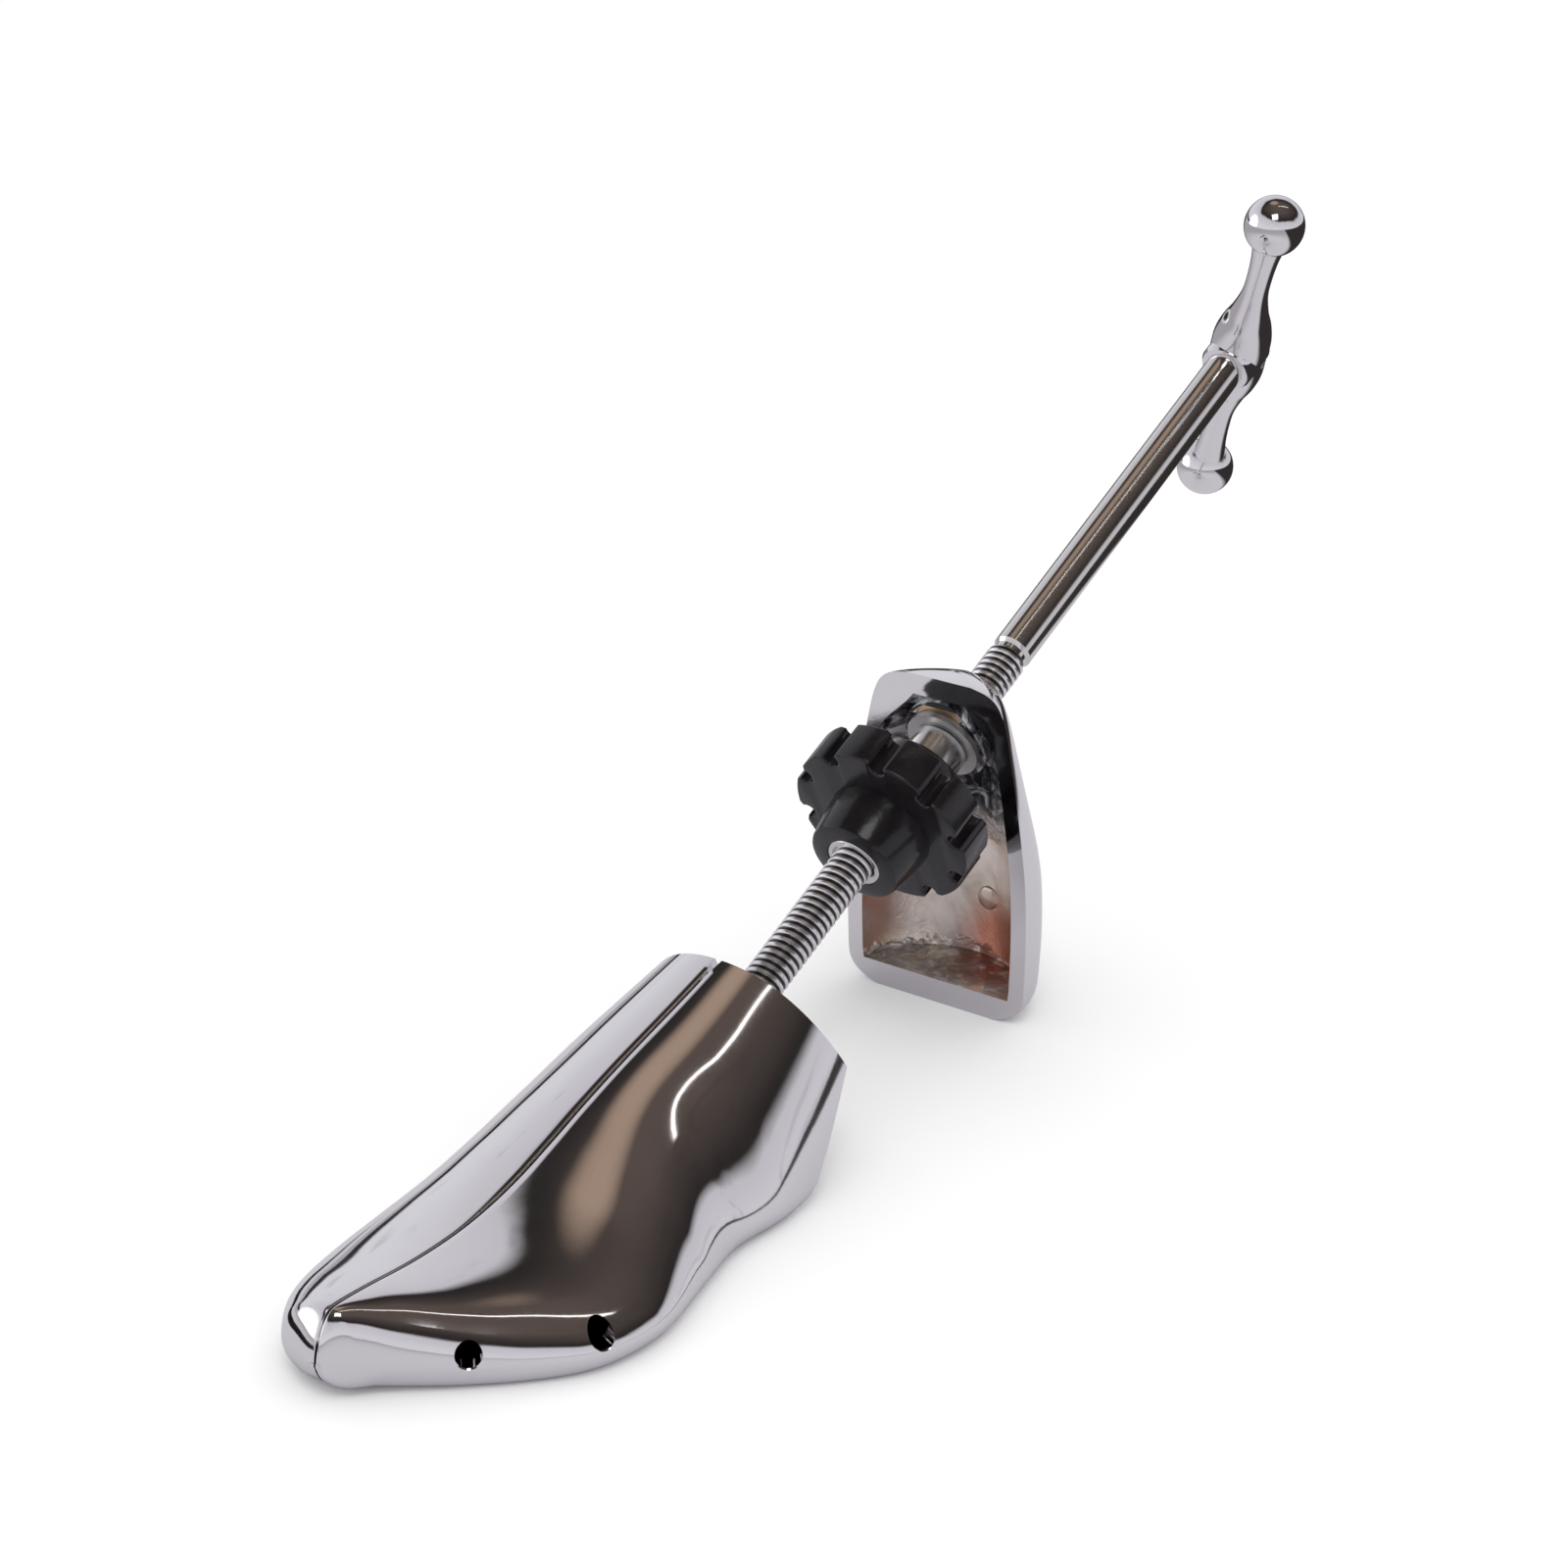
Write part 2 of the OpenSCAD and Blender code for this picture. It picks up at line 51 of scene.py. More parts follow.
TOE_LEN = 139
SEAM_GAP = 0.5
SEAM_ROUND = 0.35
TOE_WALL = 4
PEG_HOLE_D = 5.6
PEG_HOLE_RIM = 0.5
PEG_HOLE_Z = 8.5
PEG_HOLES_X = (-119, -98)
BARREL_D = 15.2
PIVOT_PIN_D = 4
PIVOT_Y = 8.3
CONE_D = 16.4
CONE_LEN = 10.7
CONE_SLOPE = 0.27
SPREAD_TRAVEL = 8
RUN_GAP = 0.05
FACE_GAP = 0.3
SEAT_GAP = 0.01

# Places along the rod, and heights above it
PIVOT_S = -6
BLOCK_FRONT = -12
BARREL_ROOM = 1.4
TONGUE_REACH = 3.6
TONGUE_ROOM = 0.9
TONGUE_LOW = BARREL_D / 2 + 2.4
TONGUE_HIGH = TONGUE_LOW + 2.6
EAR_LOW = BARREL_D / 2 - 0.7
EAR_INNER = 4.5
PIN_TOP = TONGUE_HIGH + 2.9
SHOULDER_S = -24
CONE_REAR = SHOULDER_S - 1.2
CONE_FRONT = CONE_REAR - CONE_LEN
CLIP_S = CONE_FRONT - 1.0
JOURNAL_END = CLIP_S - 1.2
SPREAD_ANGLE = math.atan(SPREAD_TRAVEL * CONE_SLOPE / (PIVOT_S - CONE_REAR + SPREAD_TRAVEL))
SPREAD_ROOM = math.radians(0.4)
JOURNAL_R = 3
CLIP_GROOVE_R = 2.4
ARCH_DROP = 7.4
ARCH_SLOPE = math.radians(13.6)
EAR_ROOM_TOP = 24
RAMP_HALF = 5

# How far cutters run past the piece they cut
BIG = 400
REACH = 60
HOLE_REACH = 20

KNOB_AT = 48.2
KNOB_D = 46
KNOB_LOBES = 10
LOBE_LEN = 10.5
LOBE_TURN = 13
LOBE_EDGE = 0.55
VALLEY_R = 1.9
VALLEY_DEPTH = 1.8
VALLEY_LIP = 2.6
VALLEY_MARGIN = 0.02
VALLEY_SWEEP = 236
STAR_BORE_R = 7.6
STAR_S = KNOB_AT + 12
STAR_REAR = STAR_S + LOBE_LEN
REAR_HUB_LEN = 8
HUB_D = 23
HUB_TAPER = 1.5
INSERT_D = 13.7
INSERT_REAR = KNOB_AT + 40
BOSS_S = INSERT_REAR + 1.7
BOSS_D = 22
BUSH_D = 14
BUSH_FLANGE_D = 19
BUSH_FLANGE_T = 1.6

HEEL_H = 84
HEEL_WALL = 4.2
HEEL_FLOOR = 6.1
HEEL_CEILING = HEEL_H - 5
HEEL_BAND = 6
CROWN_FROM = 70
HOLLOW_OUTLINE_TOP = HEEL_H - 7
CROWN_THICKENING = 0.8
HOLLOW_REACH = 5

BALL_SPAN = 94.8
BALL_D = 15.2
GRIP_D = 15
NECK_D = 6.4
SOCKET_D = 14
SOCKET_HALF = 8
SOCKET_DEPTH = 2
CROSS_PIN_D = 3
HANDLE_TURN = math.radians(23.2)

# The part's frame in metres, and the rod's frame within it: X along the rod, Z square to it
TO_ROW = Matrix.Scale(0.001, 4) @ Matrix.Translation((-FOOT_X, 0, 0))
ROD = Matrix.Translation((0, 0, ROD_HEIGHT)) @ Matrix.Rotation(-math.radians(ROD_TILT), 4, "Y")


# Curves

def slope_at(p, i):
    a, b = max(i - 1, 0), min(i + 1, len(p) - 1)
    return (p[b][1] - p[a][1]) / (p[b][0] - p[a][0])


def curve(p, x):
    i = 0
    while i < len(p) - 2 and x >= p[i + 1][0]:
        i += 1
    h = p[i + 1][0] - p[i][0]
    t = (x - p[i][0]) / h
    return ((1 + 2 * t) * (1 - t) ** 2 * p[i][1] + t * (1 - t) ** 2 * h * slope_at(p, i)
            + t * t * (3 - 2 * t) * p[i + 1][1] - t * t * (1 - t) * h * slope_at(p, i + 1))


NOSE_LEN = 6
NOSE_X = -TOE_LEN
NOSE_LEAST = 0.08
TOE_REAR_X = 12
NOSE_MID = 7
SPRING_FROM = -106
SPRING_RISE = 2.4
SOLE_EDGE = 5
LEAST_WIDTH = 1.2
RIGHT_WIDTHS = [(-139, 3), (-134, 6), (-127, 13.5), (-119, 22.5), (-110, 31.5), (-101, 38.6), (-92, 41.9),
                (-80, 42.4), (-62, 38), (-46, 34.4), (-30, 35.2), (-14, 33.5), (3, 30.4), (14, 27.6)]
LEFT_WIDTHS = [(-139, 8.5), (-134, 14), (-126, 20.6), (-116, 25.2), (-104, 28.2), (-90, 30.2),
               (-76, 31.5), (-60, 33), (-46, 34.4), (-30, 35.4), (-14, 34.2), (3, 31.6), (14, 29)]
TOPS = [(-139, 17.5), (-133, 19), (-124, 18.9), (-110, 18), (-98, 18.2), (-88, 19.4), (-77, 22),
        (-66, 25.8), (-54, 30.3), (-40, 35), (-20, 41.1), (-6, 45.6), (14, 52)]
FULLNESS = [(-139, 1.9), (-100, 1.75), (-70, 1.4), (-40, 1.25), (-15, 1.4), (14, 1.65)]
SIDE_POWER = 2.25


def nose_scale(x):
    if x >= NOSE_X + NOSE_LEN:
        return 1.0
    return max(math.sqrt(max(1 - (1 - (x - NOSE_X) / NOSE_LEN) ** 2, 0)), NOSE_LEAST)


def toe_half(x, side):
    return curve(LEFT_WIDTHS if side > 0 else RIGHT_WIDTHS, x) * nose_scale(x)


def toe_section(x, side, inset, y0, dome_n, edge_n, seam_round=0.0):
    """Closed section of a half block, from the seam down the dome and back along the sole."""
    w = max(toe_half(x, side) - inset, LEAST_WIDTH)
    top = NOSE_MID + (curve(TOPS, x) - NOSE_MID) * nose_scale(x) - inset
    low = (NOSE_MID * (1 - nose_scale(x))
           + SPRING_RISE * (max(SPRING_FROM - x, 0) / (TOE_LEN + SPRING_FROM)) ** 2 + inset)
    edge = min(SOLE_EDGE, (top - low) * 0.4, w * 0.5)
    sill = low + edge
    q = curve(FULLNESS, x)
    y_start = y0 + seam_round
    start = math.asin(min((y_start / w), 1) ** (SIDE_POWER / 2)) if y_start > 0 else 0.0
    points = []
    if y0 <= 0:
        points.append((x, y0, top))
    dome = []
    for i in range(dome_n + 1):
        a = start + (math.pi / 2 - start) * i / dome_n
        y = w * math.sin(a) ** (2 / SIDE_POWER)
        dome.append((x, y, sill + (top - sill) * abs(math.cos(a)) ** (2 / q)))
    if seam_round:
        z = dome[0][2]
        for i in range(3):
            a = math.pi / 2 * i / 3
            points.append((x, y0 + seam_round * (1 - math.cos(a)), z - seam_round * (1 - math.sin(a))))
    points += dome
    for i in range(1, edge_n + 1):
        a = math.pi / 2 * i / edge_n
        points.append((x, w - edge * (1 - math.cos(a)), sill - edge * math.sin(a)))
    points.append((x, y0, low))
    return points


# Meshes

def put(name, data):
    """Puts a mesh, a light or a camera into the scene."""
    obj = bpy.data.objects.new(name, data)
    bpy.context.scene.collection.objects.link(obj)
    return obj


def add(name, vertices, faces):
    mesh = bpy.data.meshes.new(name)
    mesh.from_pydata(vertices, [], faces)
    mesh.validate()
    return put(name, mesh)


def evaluated(obj):
    """A new mesh of the object as its modifiers or its curve make it."""
    bpy.context.view_layer.update()
    return bpy.data.meshes.new_from_object(obj.evaluated_get(bpy.context.evaluated_depsgraph_get()))


def clean(obj, distance=0.0005, close=False):
    """Merges points that meet and turns all faces outwards. With close, it also fills open ends."""
    bm = bmesh.new()
    bm.from_mesh(obj.data)
    bmesh.ops.remove_doubles(bm, verts=bm.verts, dist=distance)
    if close:
        bmesh.ops.dissolve_degenerate(bm, edges=bm.edges, dist=distance)
        bmesh.ops.holes_fill(bm, edges=[e for e in bm.edges if e.is_boundary], sides=0)
    bmesh.ops.recalc_face_normals(bm, faces=bm.faces)
    bm.to_mesh(obj.data)
    bm.free()
    return obj


def skin(name, sections):
    """Closed solid through a row of sections with the same number of points."""
    n = len(sections[0])
    vertices = [p for s in sections for p in s]
    faces = []
    for r in range(len(sections) - 1):
        for i in range(n):
            j = (i + 1) % n
            faces.append((r * n + i, r * n + j, (r + 1) * n + j, (r + 1) * n + i))
    faces.append(tuple(range(n)))
    faces.append(tuple((len(sections) - 1) * n + i for i in range(n)))
    return clean(add(name, vertices, faces), 0.00001)


def lathe(name, profile, matrix=Matrix(), steps=96):
    """Solid of revolution about X from (x, r) points; a closed ring when no point lies on the axis."""
    closed = all(r > 0 for _, r in profile)
    n = len(profile)
    vertices = []
    for k in range(steps):
        a = 2 * math.pi * k / steps
        vertices += [(x, r * math.cos(a), r * math.sin(a)) for x, r in profile]
    faces = []
    for k in range(steps):
        m = (k + 1) % steps
        for i in range(n if closed else n - 1):
            j = (i + 1) % n
            faces.append((k * n + i, k * n + j, m * n + j, m * n + i))
    obj = clean(add(name, vertices, faces), 0.0001)
    obj.data.transform(matrix)
    return obj


def box(low, high, matrix=Matrix()):
    corners = [(x, y, z) for x in (low[0], high[0]) for y in (low[1], high[1]) for z in (low[2], high[2])]
    faces = [(0, 1, 3, 2), (4, 6, 7, 5), (0, 4, 5, 1), (2, 3, 7, 6), (0, 2, 6, 4), (1, 5, 7, 3)]
    obj = clean(add("cutter", corners, faces))
    obj.data.transform(matrix)
    return obj


def rod_round(r, s_from, s_to, matrix=ROD):
    return lathe("cutter", [(s_from, 0), (s_from, r), (s_to, r), (s_to, 0)], matrix)


def combine(obj, others, operation="DIFFERENCE"):
    for other in others:
        modifier = obj.modifiers.new("combine", "BOOLEAN")
        modifier.operation = operation
        modifier.solver = "EXACT"
        modifier.material_mode = "TRANSFER"
        modifier.object = other
        mesh = evaluated(obj)
        obj.modifiers.clear()
        old = obj.data
        obj.data = mesh
        bpy.data.meshes.remove(old)
        bpy.data.objects.remove(other)
    return obj


def join(name, objects):
    """One object from several, each face with the material it had."""
    bm = bmesh.new()
    materials = []
    for o in objects:
        shift = []
        for m in o.data.materials:
            if m not in materials:
                materials.append(m)
            shift.append(materials.index(m))
        known = len(bm.faces)
        bm.from_mesh(o.data)
        bm.faces.ensure_lookup_table()
        for f in bm.faces[known:]:
            if shift:
                f.material_index = shift[min(f.material_index, len(shift) - 1)]
        bpy.data.objects.remove(o)
    mesh = bpy.data.meshes.new(name)
    bm.to_mesh(mesh)
    bm.free()
    for m in materials:
        mesh.materials.append(m)
    return put(name, mesh)


def smooth(obj, angle=32):
    obj.data.shade_smooth()
    obj.data.set_sharp_from_angle(angle=math.radians(angle))
    return obj


def paint(obj, material):
    obj.data.materials.clear()
    obj.data.materials.append(material)
    return obj


def hand_over(obj, body, nodes, matrix=Matrix()):
    """Moves a finished piece from millimetres into the part's frame, gives it its body and hides the CAD
    parts it replaces.
    """
    obj.data.transform(matrix)
    obj.data.transform(TO_ROW)
    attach(obj, body)
    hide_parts(*nodes)


# Materials

class Tree:
    """Short forms for the nodes that the materials and the studio are built from."""

    def __init__(self, tree, where):
        self.tree = tree
        self.where = self.node("TexCoord").outputs[where]

    def node(self, kind):
        return self.tree.nodes.new("ShaderNode" + kind)

    def link(self, a, b):
        self.tree.links.new(a, b)

    def feed(self, socket, value):
        """Links an output to the socket, or sets a number or a colour on it."""
        if isinstance(value, tuple):
            socket.default_value = (*value, 1)
        elif isinstance(value, (int, float)):
            socket.default_value = value
        else:
            self.link(value, socket)

    def math(self, operation, a, b):
        n = self.node("Math")
        n.operation = operation
        self.feed(n.inputs[0], a)
        self.feed(n.inputs[1], b)
        return n.outputs[0]

    def sum(self, a, b):
        return self.math("ADD", a, b)

    def product(self, a, b):
        return self.math("MULTIPLY", a, b)

    def less(self, a, b):
        return self.math("SUBTRACT", a, b)

    def vector(self, operation, other):
        n = self.node("VectorMath")
        n.operation = operation
        n.inputs[1].default_value = other
        self.link(self.where, n.inputs[0])
        return n.outputs["Value"]

    def along(self, towards):
        return self.vector("DOT_PRODUCT", towards)

    def noise(self, scale, detail=4.0, rough=0.55, distortion=0.0):
        n = self.node("TexNoise")
        n.inputs["Scale"].default_value = scale
        n.inputs["Detail"].default_value = detail
        n.inputs["Roughness"].default_value = rough
        n.inputs["Distortion"].default_value = distortion
        self.link(self.where, n.inputs["Vector"])
        return n.outputs["Fac"]

    def spread(self, value, low, high, from_low=0.0, from_high=1.0, kind="LINEAR"):
        n = self.node("MapRange")
        n.interpolation_type = kind
        n.inputs["From Min"].default_value = from_low
        n.inputs["From Max"].default_value = from_high
        n.inputs["To Min"].default_value = low
        n.inputs["To Max"].default_value = high
        self.link(value, n.inputs["Value"])
        return n.outputs["Result"]

    def step(self, value, low, high):
        return self.spread(value, 0.0, 1.0, low, high, "SMOOTHSTEP")

    def colours(self, value, *stops):
        n = self.node("ValToRGB")
        ramp = n.color_ramp
        while len(ramp.elements) < len(stops):
            ramp.elements.new(0.5)
        for element, (position, colour) in zip(ramp.elements, stops):
            element.position = position
            element.color = (*colour, 1)
        self.link(value, n.inputs["Fac"])
        return n.outputs["Color"]

    def blend(self, share, a, b):
        n = self.node("Mix")
        n.data_type = "RGBA"
        self.link(share, n.inputs["Factor"])
        self.feed(n.inputs["A"], a)
        self.feed(n.inputs["B"], b)
        return n.outputs["Result"]


class Nodes(Tree):
    """A material and its shader."""

    def __init__(self, name):
        self.material = bpy.data.materials.new(name)
        self.material.use_nodes = True
        super().__init__(self.material.node_tree, "Object")
        self.shader = self.tree.nodes["Principled BSDF"]

    def set(self, name, value):
        """Feeds one input of the shader."""
        self.feed(self.shader.inputs[name], value)

    def bump(self, height, distance, after=None):
        n = self.node("Bump")
        n.inputs["Strength"].default_value = 1.0
        n.inputs["Distance"].default_value = distance
        self.link(height, n.inputs["Height"])
        if after is not None:
            self.link(after, n.inputs["Normal"])
        return n.outputs["Normal"]


def metal(name, colour):
    m = Nodes(name)
    m.set("Metallic", 1.0)
    m.set("Base Color", colour)
    return m


def chrome(name="chrome", tint=(0.82, 0.81, 0.82), wave=0.00007, rough=(0.04, 0.10)):
    """Plating with a slow ripple and a fine one on it."""
    m = metal(name, tint)
    m.set("Roughness", m.spread(m.noise(90, 5), *rough))
    slow = m.bump(m.noise(28, 2, 0.4), wave)
    m.set("Normal", m.bump(m.noise(420, 3, 0.6), wave * 0.05, slow))
    return m.material


def plain_metal(name, colour, low, high, wave=0.00002):
    m = metal(name, colour)
    m.set("Roughness", m.spread(m.noise(220, 4), low, high))
    m.set("Normal", m.bump(m.noise(900, 3), wave))
    return m.material


def black_plastic():
    m = Nodes("black_plastic")
    speck = m.noise(260, 6, 0.6)
    m.set("Base Color", m.colours(speck, (0.3, (0.006, 0.0055, 0.006)), (0.75, (0.014, 0.012, 0.014))))
    m.set("Roughness", m.spread(m.noise(140, 4), 0.12, 0.24))
    m.set("IOR", 1.5)
    m.set("Specular IOR Level", 0.42)
    m.set("Normal", m.bump(m.noise(700, 4), 0.00004))
    return m.material


def cast_inside():
    """Plating inside the heel block: rough and dark above and along the floor with painted white glints,
    smooth and warm between with a painted coppery reflection near the floor.
    """
    m = Nodes("cast_inside")
    parts = m.node("SeparateXYZ")
    m.link(m.where, parts.inputs[0])
    height = m.sum(parts.outputs["Z"], m.spread(m.noise(150, 4, 0.6), -0.006, 0.006))
    upper = m.spread(height, 0.0, 1.0, 0.036, 0.046)
    edge = m.spread(height, 0.45, 0.0, 0.0062, 0.0076)
    rough = m.sum(upper, edge)
    grain = m.noise(170, 6, 0.6, 1.2)
    # The rough plating's dark grain is its own tone; its white specks are painted glints.
    rough_tint_and_glints = m.colours(grain, (0.40, (0.02, 0.02, 0.025)), (0.50, (0.22, 0.22, 0.25)),
                           (0.60, (0.95, 0.96, 1.0)))
    cloud = m.noise(42, 5, 0.6, 0.8)
    smooth_tint = m.colours(cloud, (0.34, (0.50, 0.40, 0.32)), (0.5, (0.86, 0.78, 0.70)),
                            (0.64, (0.92, 0.88, 0.85)))
    # A painted reflection: a coppery patch on the smooth plating near the floor, fading out at its edges.
    reflection_distance = m.vector("DISTANCE", (0.006, -0.008, 0.009))
    painted_reflection = m.spread(m.sum(reflection_distance, m.spread(cloud, -0.004, 0.004)), 1.0, 0.0, 0.008, 0.016)
    smooth_tint = m.blend(painted_reflection, smooth_tint, (0.60, 0.27, 0.19))
    m.set("Base Color", m.blend(rough, smooth_tint, rough_tint_and_glints))
    m.set("Metallic", m.spread(rough, 0.95, 0.55))
    m.set("Roughness", m.spread(rough, 0.26, 0.2))
    m.set("Normal", m.bump(m.product(grain, m.spread(rough, 0.05, 1.0)), 0.0030))
    return m.material


CHROME = chrome()
CHROME_HEEL = chrome("chrome_heel", (0.82, 0.81, 0.82), 0.00010)
BRIGHT = chrome("bright_steel", (0.74, 0.73, 0.71), 0.00003, (0.08, 0.2))
# Painted shade for the thread's roots, and a painted highlight for its crests
ROOT_SHADE = plain_metal("thread_root_shade", (0.14, 0.135, 0.14), 0.25, 0.4)
CREST_HIGHLIGHT = plain_metal("thread_crest_highlight", (0.92, 0.91, 0.91), 0.24, 0.34)
MACHINED = plain_metal("machined_steel", (0.52, 0.52, 0.52), 0.28, 0.42)
SPRING = plain_metal("spring_steel", (0.30, 0.30, 0.32), 0.3, 0.45)
BRONZE = plain_metal("bronze", (0.40, 0.29, 0.18), 0.3, 0.5)
PLATED = plain_metal("plated_insert", (0.72, 0.71, 0.69), 0.18, 0.3)
BLACK = black_plastic()
CAST = cast_inside()


# Toe block

def behind_toe(inset):
    """What lies behind the rear face and what lies below the arch, which both end the toe block."""
    arch = ROD @ Matrix.Translation((0, 0, -ARCH_DROP)) @ Matrix.Rotation(-ARCH_SLOPE, 4, "Y")
    return [box((-inset, -BIG, -BIG), (BIG, BIG, BIG), ROD),
            box((-BIG, -BIG, -BIG), (BIG, BIG, inset), arch)]


def toe_ramp():
    """The slope inside a half that the cone pushes on."""
    y = CONE_D / 2 + FACE_GAP + RUN_GAP
    front = CONE_FRONT - SPREAD_TRAVEL
    outline = [(CONE_REAR, y), (CONE_REAR, REACH), (front, REACH),
               (front, y + (front - CONE_REAR) * CONE_SLOPE)]
    vertices = [(s, v, z) for z in (-RAMP_HALF, RAMP_HALF) for s, v in outline]
    faces = [(3, 2, 1, 0), (4, 5, 6, 7), (0, 1, 5, 4), (1, 2, 6, 5), (2, 3, 7, 6), (3, 0, 4, 7)]
    obj = clean(add("cutter", vertices, faces))
    obj.data.transform(ROD)
    return obj


def rod_box(low, high):
    return box(low, high, ROD)


def peg_hole(x, side):
    turn = math.atan((toe_half(x + 1, side) - toe_half(x - 1, side)) / 2)
    r = PEG_HOLE_D / 2
    rim_r = r + PEG_HOLE_RIM
    hole = lathe("cutter", [(-HOLE_REACH, 0), (-HOLE_REACH, r), (-0.3, r), (0.3, rim_r),
                            (HOLE_REACH, rim_r), (HOLE_REACH, 0)])
    hole.data.transform(Matrix.Translation((x, toe_half(x, side), PEG_HOLE_Z))
                        @ Matrix.Rotation(turn, 4, "Z") @ Matrix.Rotation(math.pi / 2, 4, "Z"))
    return hole


def toe_hollow(side):
    start = NOSE_X + NOSE_LEN + TOE_WALL
    steps = 30
    xs = [start + (TOE_REAR_X - start) * i / steps for i in range(steps + 1)]
    hollow = skin("hollow", [toe_section(x, side, TOE_WALL, -1, dome_n=20, edge_n=4) for x in xs])
    ear_front = BLOCK_FRONT + 1
    return combine(hollow, behind_toe(TOE_WALL) + [
        rod_box((ear_front, EAR_INNER, EAR_LOW), (0, REACH, TONGUE_LOW - FACE_GAP)),
        rod_box((ear_front, EAR_INNER, TONGUE_HIGH + FACE_GAP), (0, REACH, EAR_ROOM_TOP)),
        toe_ramp()])


def toe_piece(side):
    """One half of the toe block, cut for the pivot's barrel, tongue and pin and freed to swing."""
    steps = 16
    nose = [NOSE_X + NOSE_LEN * (1 - math.cos(math.pi / 2 * i / steps)) for i in range(steps + 1)]
    steps = 110
    body = [NOSE_X + NOSE_LEN + (TOE_REAR_X - NOSE_X - NOSE_LEN) * i / steps for i in range(1, steps + 1)]
    outer = skin("toe", [
        toe_section(x, side, 0, SEAM_GAP / 2, dome_n=56, edge_n=8, seam_round=SEAM_ROUND)
        for x in nose + body])
    hollow = toe_hollow(side)
    room = TONGUE_REACH + TONGUE_ROOM
    low, high = TONGUE_LOW - FACE_GAP, TONGUE_HIGH + FACE_GAP
    pin_r = PIVOT_PIN_D / 2 + RUN_GAP
    pin_len = PIN_TOP - EAR_LOW + 1.3
    pin = lathe("cutter", [(0, 0), (0, pin_r), (pin_len, pin_r), (pin_len, 0)])
    pin.data.transform(ROD @ Matrix.Translation((PIVOT_S, PIVOT_Y, EAR_LOW - 1))
                       @ Matrix.Rotation(-math.pi / 2, 4, "Y"))
    wedge = (ROD @ Matrix.Translation((PIVOT_S - 1, SEAM_GAP / 2, -REACH))
             @ Matrix.Rotation(SPREAD_ANGLE + SPREAD_ROOM, 4, "Z"))
    cutters = behind_toe(0) + [
        hollow,
        rod_round(BARREL_D / 2 + BARREL_ROOM, BLOCK_FRONT - 0.01, 1),
        rod_box((BLOCK_FRONT, -1, 0), (1, EAR_INNER, high)),
        rod_box((PIVOT_S - room, -1, low), (PIVOT_S + room, PIVOT_Y + room, high)),
        pin,
        box((0, -5, 0), (REACH, 0, 2 * REACH), wedge)]
    combine(outer, cutters + [peg_hole(x, side) for x in PEG_HOLES_X])
    if side < 0:
        outer.data.transform(Matrix.Scale(-1, 4, (0, 1, 0)))
        outer.data.flip_normals()
    outer.name = "toe_left_chrome" if side > 0 else "toe_right_chrome"
    return smooth(paint(outer, CHROME))


hand_over(toe_piece(1), "toe_left", ["toe_half_left"])
hand_over(toe_piece(-1), "toe_right", ["toe_half_right"])


# Screw rod

# One turn of the thread: the share of the pitch, and the drop from the crest as a share of the depth
THREAD_SHAPE = [(0.0, 1.0), (0.14, 0.35), (0.28, 0.0), (0.55, 0.0), (0.69, 0.35), (0.83, 1.0)]
END_SLOPE = 0.8
SPARE_TURNS = 2


def thread(s_from, s_to, pitch, crest, depth, steps=64):
    """Helical thread: rows follow the helix, so its crest and root are smooth lines."""
    per_turn = len(THREAD_SHAPE)
    turns = int((s_to - s_from) / pitch) + 2 * SPARE_TURNS
    rows = per_turn * turns
    vertices = []
    for i in range(rows):
        turn, k = divmod(i, per_turn)
        share, drop = THREAD_SHAPE[k]
        for j in range(steps):
            s = s_from + pitch * (turn - SPARE_TURNS + share + j / steps)
            s = min(max(s, s_from), s_to)
            end = min(s - s_from, s_to - s)
            r = min(crest - depth * drop, crest - depth + end * END_SLOPE)
            a = 2 * math.pi * j / steps
            vertices.append((s, r * math.cos(a), r * math.sin(a)))
    faces = []
    for i in range(rows - 1):
        here, above = i * steps, (i + 1) * steps
        for j in range(steps - 1):
            faces.append((here + j, here + j + 1, above + j + 1, above + j))
        if i + per_turn + 1 < rows:
            last = steps - 1
            next_here, next_above = (i + per_turn) * steps, (i + per_turn + 1) * steps
            faces.append((here + last, next_here, next_above, above + last))
    return smooth(clean(add("thread", vertices, faces), close=True), angle=28)


relief_end = THREAD_END + 1.5
socket_end = HANDLE_AT + SOCKET_DEPTH
relief_r = ROD_R - THREAD_DEPTH
shank = lathe("shank", [
    (THREAD_END - 0.3, 0), (THREAD_END - 0.3, relief_r), (relief_end - 0.3, relief_r),
    (relief_end, ROD_R - 0.6), (relief_end + 0.6, ROD_R), (socket_end, ROD_R), (socket_end, 0)])
groove_front, groove_rear = CLIP_S - 0.05, CLIP_S + 0.85
journal = lathe("journal", [
    (JOURNAL_END, 0), (JOURNAL_END, JOURNAL_R - 0.4), (JOURNAL_END + 0.4, JOURNAL_R),
    (groove_front, JOURNAL_R), (groove_front, CLIP_GROOVE_R), (groove_rear, CLIP_GROOVE_R),
    (groove_rear, JOURNAL_R), (SHOULDER_S + 0.4, JOURNAL_R), (SHOULDER_S + 0.4, 0)])
rod = join("screw_rod_threaded", [
    thread(SHOULDER_S, THREAD_END, THREAD_PITCH, ROD_R, THREAD_DEPTH), smooth(shank), smooth(journal)])
paint(rod, BRIGHT)

# The thread's faces by their radius: painted shade in the root, a painted highlight on the crest
rod.data.materials.append(ROOT_SHADE)
rod.data.materials.append(CREST_HIGHLIGHT)
root_r = ROD_R - THREAD_DEPTH * 0.6
for face in rod.data.polygons:
    if SHOULDER_S < face.center.x < THREAD_END:
        face.material_index = 1 if math.hypot(face.center.y, face.center.z) < root_r else 2
hand_over(rod, "screw", ["screw_rod"], ROD)


# Star knob

